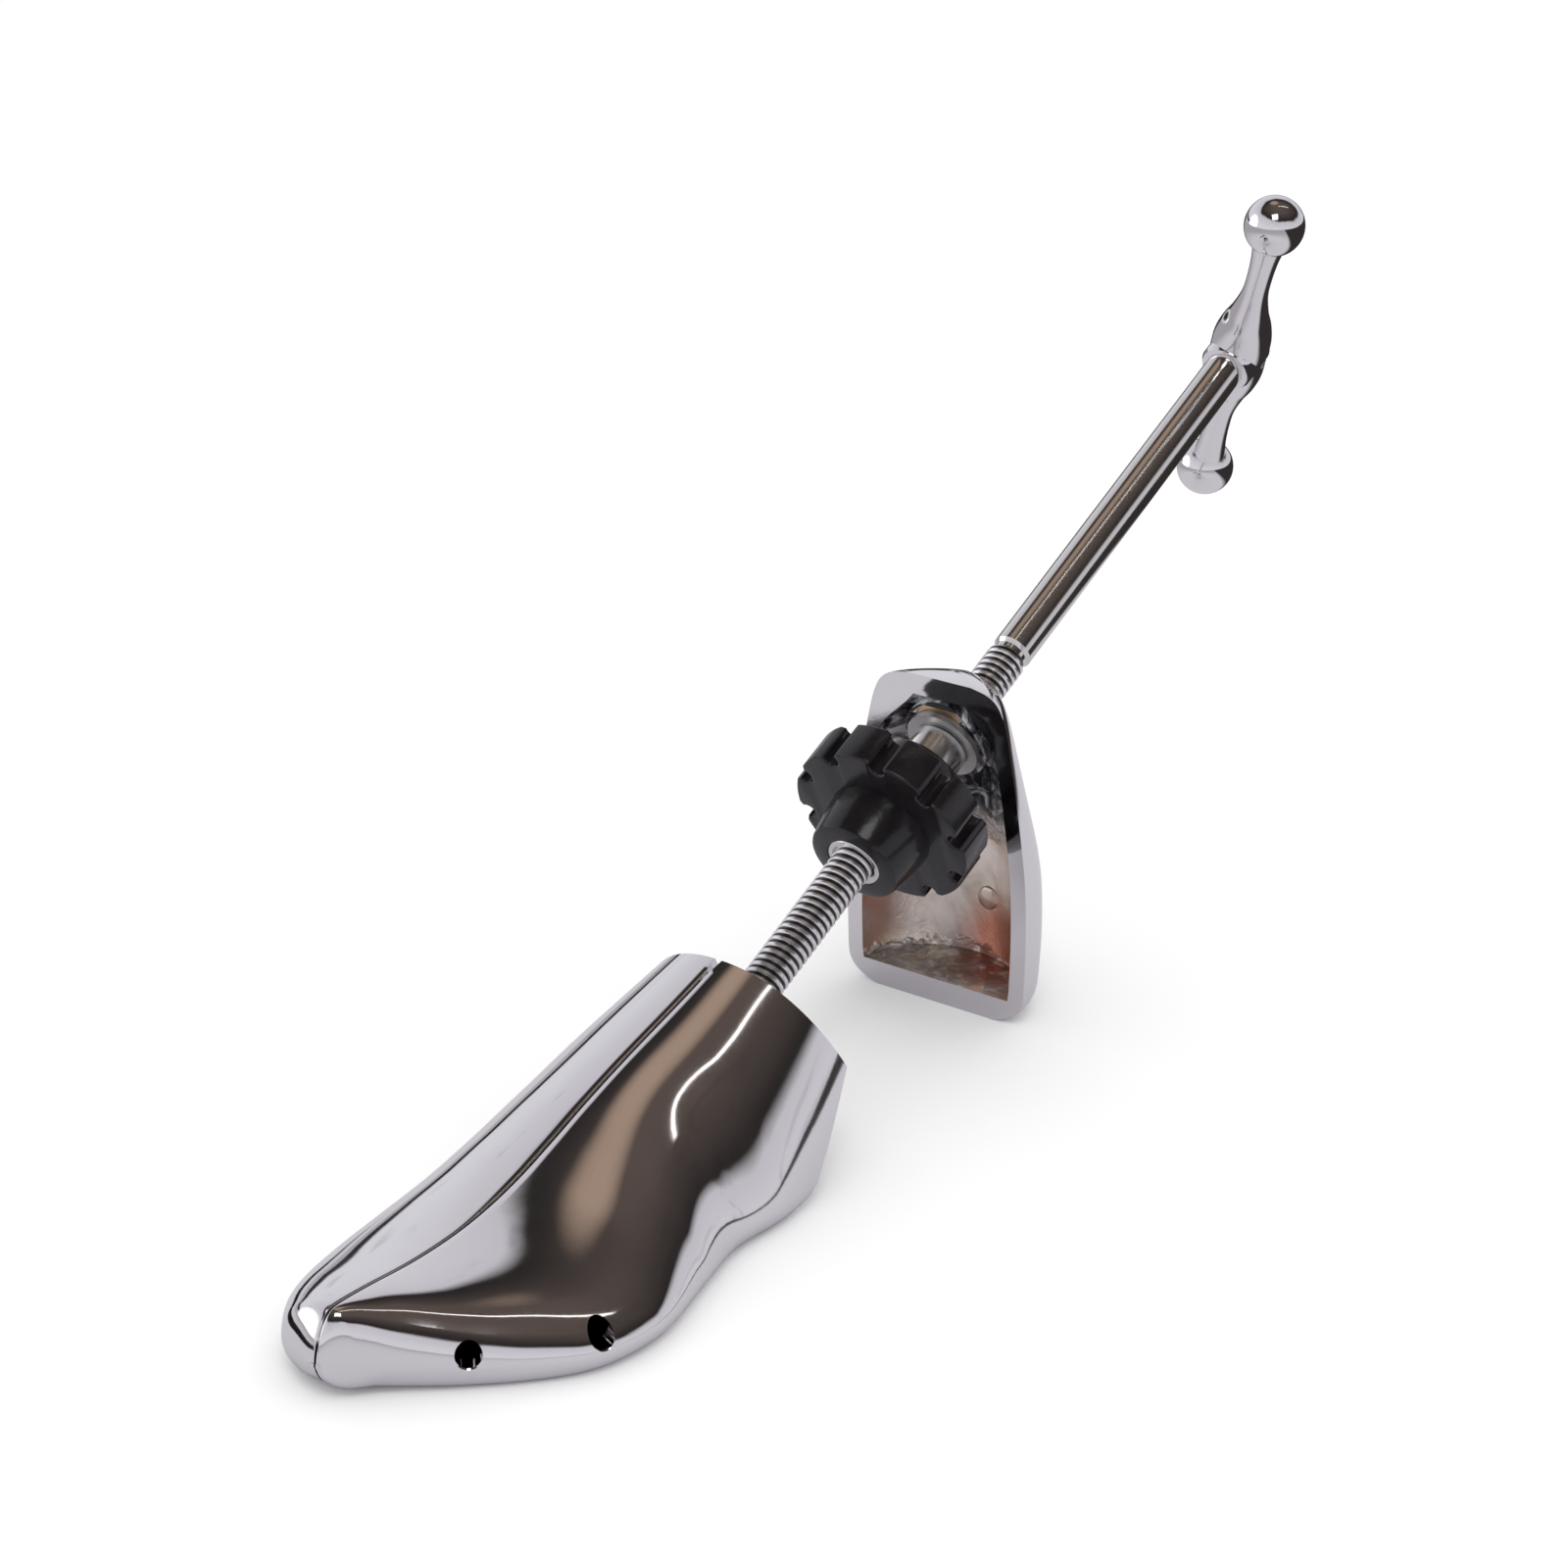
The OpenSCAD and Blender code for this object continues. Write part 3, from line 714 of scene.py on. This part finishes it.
def star_points(r, valley_n=14, rim_n=16):
    """Outline of the star: a circle cut by narrow, shallow valleys with rounded corners."""
    valley_at = r - VALLEY_DEPTH
    valley_from = -(360 - VALLEY_SWEEP) / 2
    points = []
    for i in range(KNOB_LOBES):
        middle = math.radians(LOBE_TURN + 360 * i / KNOB_LOBES)
        c, n = math.cos(middle), math.sin(middle)
        for k in range(valley_n + 1):
            a = math.radians(valley_from - VALLEY_SWEEP * k / valley_n)
            x, y = valley_at + VALLEY_R * math.cos(a), VALLEY_R * math.sin(a)
            points.append((x * c - y * n, x * n + y * c))
        first = math.asin(VALLEY_LIP / r) + VALLEY_MARGIN
        for k in range(rim_n + 1):
            a = middle + first + (2 * math.pi / KNOB_LOBES - 2 * first) * k / rim_n
            points.append((r * math.cos(a), r * math.sin(a)))
    return points


def star_prism():
    """The star with its bore, as a filled curve with rounded edges."""
    data = bpy.data.curves.new("star", "CURVE")
    data.dimensions = "2D"
    data.fill_mode = "BOTH"
    data.extrude = LOBE_LEN / 2 - LOBE_EDGE
    data.bevel_depth = LOBE_EDGE
    data.bevel_resolution = 3
    data.offset = -LOBE_EDGE
    turns = [2 * math.pi * k / 64 for k in range(64)]
    hole = [(STAR_BORE_R * math.cos(a), -STAR_BORE_R * math.sin(a)) for a in turns]
    for points in (star_points(KNOB_D / 2), hole):
        spline = data.splines.new("POLY")
        spline.points.add(len(points) - 1)
        for p, (x, y) in zip(spline.points, points):
            p.co = (x, y, 0, 1)
        spline.use_cyclic_u = True
    holder = put("star", data)
    obj = put("star", evaluated(holder))
    bpy.data.objects.remove(holder)
    middle = Matrix.Translation((STAR_S + LOBE_LEN / 2, 0, 0))
    obj.data.transform(middle @ Matrix.Rotation(math.pi / 2, 4, "Y"))
    return smooth(clean(obj, 0.001), angle=40)


bore = INSERT_D / 2 + SEAT_GAP
hub_r = HUB_D / 2
taper_r = hub_r + HUB_TAPER
hub_rear = STAR_REAR + REAR_HUB_LEN
hub = lathe("hub", [
    (KNOB_AT + 0.3, bore), (KNOB_AT, bore + 0.3), (KNOB_AT, hub_r - 0.8), (KNOB_AT + 0.25, hub_r - 0.25),
    (KNOB_AT + 0.8, hub_r), (STAR_S - 0.6, taper_r), (STAR_S + 0.4, taper_r + 0.1),
    (STAR_REAR - 0.4, taper_r + 0.1), (STAR_REAR + 0.6, taper_r), (hub_rear - 0.8, hub_r),
    (hub_rear - 0.25, hub_r - 0.25), (hub_rear, hub_r - 0.8), (hub_rear, bore)])
knob = join("star_knob_moulded", [star_prism(), smooth(hub)])
hand_over(paint(knob, BLACK), "knob", ["star_knob"], ROD)

insert_bore = ROD_R + RUN_GAP
insert_r = INSERT_D / 2
insert = lathe("insert_ring", [
    (KNOB_AT, insert_bore + 0.7), (KNOB_AT, insert_r - 0.2), (KNOB_AT + 0.2, insert_r),
    (INSERT_REAR - 0.5, insert_r), (INSERT_REAR, insert_r - 0.5), (INSERT_REAR, insert_bore + 0.7),
    (INSERT_REAR - 0.6, insert_bore), (KNOB_AT + 0.6, insert_bore)])
hand_over(paint(smooth(insert), PLATED), "knob", ["knob_threaded_insert"], ROD)


# Heel block

HEEL_WIDTHS = [(0, 17), (1.5, 21), (4, 24.2), (8, 25.5), (34, 25.5), (52, 23.3), (68, 20.5),
               (76, 18.8), (80, 17.2), (82, 15.4), (83.2, 13), (84, 9)]
HEEL_DEPTHS = [(0, 17.5), (1.5, 20), (4, 22.3), (10, 24), (24, 25), (44, 24.6), (60, 22),
               (72, 19.4), (79, 16.4), (82, 13), (83.2, 10.5), (84, 6.5)]
HEEL_FULLNESS = [(0, 2), (30, 2), (55, 1.6), (75, 1.4), (84, 1.4)]


def heel_section(z, inset, z0, front, n):
    """Section with the outline of height z laid at height z0, its front edge a little before the rim."""
    w = max(curve(HEEL_WIDTHS, z) - inset, 2)
    d = max(curve(HEEL_DEPTHS, z) - inset, 3)
    e = 2 / curve(HEEL_FULLNESS, z)
    points = [(RIM_AT - front, w, z0)] if front else []
    for i in range(n + 1):
        t = math.pi / 2 - math.pi * i / n
        sign = 1 if t > 1e-9 else (-1 if t < -1e-9 else 0)
        points.append((RIM_AT + d * abs(math.cos(t)) ** e, w * sign * abs(math.sin(t)) ** e, z0))
    if front:
        points.append((RIM_AT - front, -w, z0))
    return points


crown_from = HEEL_H - HEEL_BAND
levels = [HEEL_BAND * (1 - math.cos(math.pi / 2 * i / 12)) for i in range(12)]
levels += [HEEL_BAND + (crown_from - HEEL_BAND) * i / 60 for i in range(60)]
levels += [crown_from + HEEL_BAND * math.sin(math.pi / 2 * i / 14) for i in range(15)]
shell = paint(skin("heel_block_cast", [heel_section(z, 0, z, 0, 72) for z in levels]), CHROME_HEEL)
steps = 30
inside = []
for i in range(steps + 1):
    z = HEEL_FLOOR + (HEEL_CEILING - HEEL_FLOOR) * i / steps
    inset = HEEL_WALL + CROWN_THICKENING * max(z - CROWN_FROM, 0)
    inside.append(heel_section(min(max(z, HEEL_BAND), HOLLOW_OUTLINE_TOP), inset, z, HOLLOW_REACH, 40))
hollow = paint(skin("hollow", inside), CAST)
combine(hollow, [paint(rod_round(BOSS_D / 2, BOSS_S, BOSS_S + REACH), CAST)])
combine(shell, [
    hollow,
    paint(rod_round(BUSH_D / 2 + SEAT_GAP, BOSS_S - 1, BOSS_S + REACH), MACHINED),
    paint(rod_round(BUSH_FLANGE_D / 2 + SEAT_GAP, BOSS_S - 10, BOSS_S + BUSH_FLANGE_T), MACHINED)])

# The small round spot on the inner back wall
hollow_back = RIM_AT + curve(HEEL_DEPTHS, 20) - HEEL_WALL
spot = lathe("spot", [(0, 0), (0, 2.3), (0.3, 2.9), (0.9, 3.2), (2.6, 3.4), (2.6, 0)],
             Matrix.Translation((hollow_back - 0.8, -2, 20.5)))
shell = join("heel_block_cast", [smooth(shell), smooth(paint(spot, CAST))])
hand_over(shell, "heel", ["heel_block"])


# T-handle

# It is built in the rod's frame, and its bar lies across the rod
ball_r = BALL_D / 2
neck_r = NECK_D / 2
flare_r = neck_r + 1
neck_at = BALL_SPAN / 2 - math.sqrt(ball_r ** 2 - flare_r ** 2)
GRIP = [(0, GRIP_D / 2), (6, GRIP_D / 2), (11, GRIP_D / 2 - 1), (0.38 * neck_at, 4.92),
        (0.55 * neck_at, neck_r + 0.2), (0.7 * neck_at, neck_r), (0.86 * neck_at, neck_r + 0.3),
        (neck_at, flare_r)]
half_bar = [(neck_at * i / 48, curve(GRIP, neck_at * i / 48)) for i in range(48)]
opening = math.asin(flare_r / ball_r)
for i in range(33):
    a = math.pi - opening - (math.pi - opening) * i / 32
    half_bar.append((BALL_SPAN / 2 + ball_r * math.cos(a), max(ball_r * math.sin(a), 0)))
profile = [(-u, r) for u, r in reversed(half_bar)] + half_bar[1:]
turned = Matrix.Translation((HANDLE_AT, 0, 0)) @ Matrix.Rotation(HANDLE_TURN, 4, "X")
grip = lathe("grip", profile, turned @ Matrix.Rotation(-math.pi / 2, 4, "Y"))
bottom, top = HANDLE_AT - SOCKET_HALF, HANDLE_AT + SOCKET_HALF
socket_r = SOCKET_D / 2
socket = lathe("socket", [
    (bottom, 0), (bottom, socket_r - 1.5), (bottom + 0.4, socket_r - 0.6), (bottom + 1.5, socket_r),
    (HANDLE_AT + 4, socket_r), (HANDLE_AT + 6.2, socket_r - 0.9), (HANDLE_AT + 7.6, socket_r - 2.2),
    (top, socket_r - 3), (top, 0)])
combine(grip, [socket], "UNION")
pin_r = CROSS_PIN_D / 2 + SEAT_GAP
pin_hole = rod_round(pin_r, -SOCKET_D, SOCKET_D, turned @ Matrix.Rotation(math.pi / 2, 4, "Z"))
combine(grip, [rod_round(ROD_R + SEAT_GAP, bottom - 1, socket_end, Matrix()), pin_hole])
grip.name = "t_handle_turned"
hand_over(paint(smooth(grip), CHROME_HEEL), "screw", ["t_handle"], ROD)


# Pieces kept from the CAD

KEPT = {
    "pivot_block": MACHINED, "pivot_pin_left": MACHINED, "pivot_pin_right": MACHINED,
    "spreader_cone": MACHINED, "cone_thrust_washer": BRONZE, "cone_retaining_clip": SPRING,
    "knob_thrust_washer": MACHINED, "heel_rod_bush": BRONZE, "handle_cross_pin": MACHINED}
for name, material in KEPT.items():
    paint(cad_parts[name], material)


# Stage

def matt(m):
    m.set("Roughness", 1.0)
    m.set("Specular IOR Level", 0.0)
    return m.material


def floor_white():
    """White to the camera and to plain surfaces; where polished pieces mirror it, a pale grey with painted
    shade that darkens with distance and turns near black beyond a line.
    """
    m = Nodes("floor_white")
    mirrored = m.node("LightPath").outputs["Is Glossy Ray"]
    # Painted shade in the mirrored floor: darker with distance, and near black beyond a line towards +X and
    # -Y
    far = m.vector("DISTANCE", (0, 0, 0))
    tone = m.colours(far, (0.20, (0.62, 0.60, 0.64)), (0.50, (0.40, 0.38, 0.41)))
    beyond = m.spread(m.along((0.90, -0.43, 0)), 0.0, 1.0, 0.205, 0.245)
    tone = m.blend(beyond, tone, (0.035, 0.03, 0.03))
    m.set("Base Color", m.blend(mirrored, (1, 1, 1), tone))
    return matt(m)


def painted_shade_card():
    """A dark sheet of painted shade on the floor beside the toe, which only the polished pieces see."""
    m = Nodes("painted_shade_card")
    speck = m.noise(60, 3)
    m.set("Base Color", m.colours(speck, (0.3, (0.004, 0.004, 0.004)), (0.8, (0.02, 0.018, 0.018))))
    return matt(m)


half = 6
floor = add("floor", [(-half, -half, 0), (half, -half, 0), (half, half, 0), (-half, half, 0)],
            [(0, 1, 2, 3)])
paint(floor, floor_white())


def direction(azimuth, elevation):
    a, e = math.radians(azimuth), math.radians(elevation)
    return (math.cos(a) * math.cos(e), math.sin(a) * math.cos(e), math.sin(e))


world = bpy.data.worlds.new("studio")
bpy.context.scene.world = world
world.use_nodes = True
world.node_tree.nodes.clear()
sky = Tree(world.node_tree, "Generated")

# The studio as the polished pieces see it: pale walls of uneven height under a dark ceiling
upward = sky.along((0, 0, 1))
rise = sky.sum(upward, sky.product(sky.along(direction(-50, 0)), 0.2))
rise = sky.sum(rise, sky.product(sky.less(sky.noise(2.2, 3, 0.5, 0.6), 0.5), 0.22))
rise = sky.less(rise, sky.product(sky.step(sky.along(direction(55, 0)), 0.1, 0.75), 0.26))
room = sky.colours(rise, (0.0, (0.76, 0.75, 0.80)), (0.46, (0.62, 0.60, 0.65)), (0.52, (0.25, 0.235, 0.24)),
                   (0.555, (0.020, 0.017, 0.017)), (0.72, (0.046, 0.037, 0.034)),
                   (1.0, (0.105, 0.080, 0.070)))

# A warm glow overhead, and faint dark mottling all round
warm = sky.step(sky.along(direction(40, 71)), 0.972, 1.0)
room = sky.blend(warm, room, (0.40, 0.29, 0.22))
mottling = sky.step(sky.noise(5.5, 5, 0.5, 1.2), 0.60, 0.68)
room = sky.blend(sky.product(mottling, 0.22), room, (0.03, 0.028, 0.03))

# A short, thin lamp above the toe block
near_lamp = sky.step(sky.along(direction(-40, 67)), 0.962, 0.974)
lamp_line = sky.step(sky.math("ABSOLUTE", sky.along((0.62, 0.78, 0.02)), 0), 0.014, 0.006)
room = sky.blend(sky.product(near_lamp, lamp_line), room, (2.6, 2.5, 2.4))

# A dark line low on one wall, and a bright patch on another
line_height = sky.math("ABSOLUTE", sky.less(upward, 0.06), 0)
line = sky.product(sky.step(line_height, 0.06, 0.03), sky.step(sky.along(direction(62, 0)), 0.35, 0.6))
room = sky.blend(line, room, (0.025, 0.022, 0.022))
room = sky.blend(sky.step(sky.along(direction(118, 8)), 0.90, 0.975), room, (1.7, 1.7, 1.7))

# That studio for mirrored rays, and plain white for all others
lit = sky.node("Background")
sky.link(room, lit.inputs["Color"])
plain = sky.node("Background")
plain.inputs["Color"].default_value = (1, 1, 1, 1)
choose = sky.node("MixShader")
sky.link(sky.node("LightPath").outputs["Is Glossy Ray"], choose.inputs["Fac"])
sky.link(plain.outputs[0], choose.inputs[1])
sky.link(lit.outputs[0], choose.inputs[2])
sky.link(choose.outputs[0], sky.node("OutputWorld").inputs["Surface"])

# Painted shade: a dark sheet on the floor near the toe's tip, hidden from the camera, from plain surfaces
# and from shadows
FLAG_CORNERS = [(-0.300, 0.030), (-0.225, 0.045), (-0.120, 0.105), (-0.130, 0.125), (-0.235, 0.080),
                (-0.320, 0.060)]
FLAG_HEIGHT = 0.0008
flag = add("painted_shade_flag", [(x, y, FLAG_HEIGHT) for x, y in FLAG_CORNERS], [(0, 1, 2, 3, 4, 5)])
paint(flag, painted_shade_card())
flag.visible_camera = False
flag.visible_diffuse = False
flag.visible_shadow = False

KEY_PLACE = Vector((-0.5, -0.35, 0.9))
KEY_TARGET = Vector((-0.05, 0, 0.05))
KEY_SIZE = 0.35
KEY_POWER = 1.2
key_data = bpy.data.lights.new("key", "AREA")
key_data.shape = "RECTANGLE"
key_data.size = KEY_SIZE
key_data.size_y = KEY_SIZE
key_data.energy = KEY_POWER
key = put("key", key_data)
key.location = KEY_PLACE
key.rotation_euler = (KEY_TARGET - KEY_PLACE).to_track_quat("-Z", "Y").to_euler()


# Camera

PHOTO_PX = 1600
SENSOR = 36
FOCAL_PX = 3493.2
AZIMUTH = -2.5051558
ELEVATION = 0.4012130
ROLL = -0.0050737
DISTANCE = 776.96
SHIFT_X, SHIFT_Y = 9.5721, 77.6645
level = math.cos(ELEVATION)
back = Vector((math.cos(AZIMUTH) * level, math.sin(AZIMUTH) * level, math.sin(ELEVATION)))
right = Vector((-math.sin(AZIMUTH), math.cos(AZIMUTH), 0))
up = back.cross(right)
right_r = math.cos(ROLL) * right + math.sin(ROLL) * up
up_r = -math.sin(ROLL) * right + math.cos(ROLL) * up
camera_data = bpy.data.cameras.new("camera")
camera_data.sensor_width = SENSOR
camera_data.lens = FOCAL_PX * SENSOR / PHOTO_PX
camera_data.clip_start = 0.01
camera = put("camera", camera_data)
place = back * DISTANCE + right_r * SHIFT_X + up_r * SHIFT_Y - Vector((FOOT_X, 0, 0))
camera.matrix_world = Matrix.Translation(place * 0.001) @ Matrix((
    (right_r.x, up_r.x, back.x), (right_r.y, up_r.y, back.y), (right_r.z, up_r.z, back.z))).to_4x4()
bpy.context.scene.camera = camera
bpy.context.scene.view_settings.view_transform = "Standard"
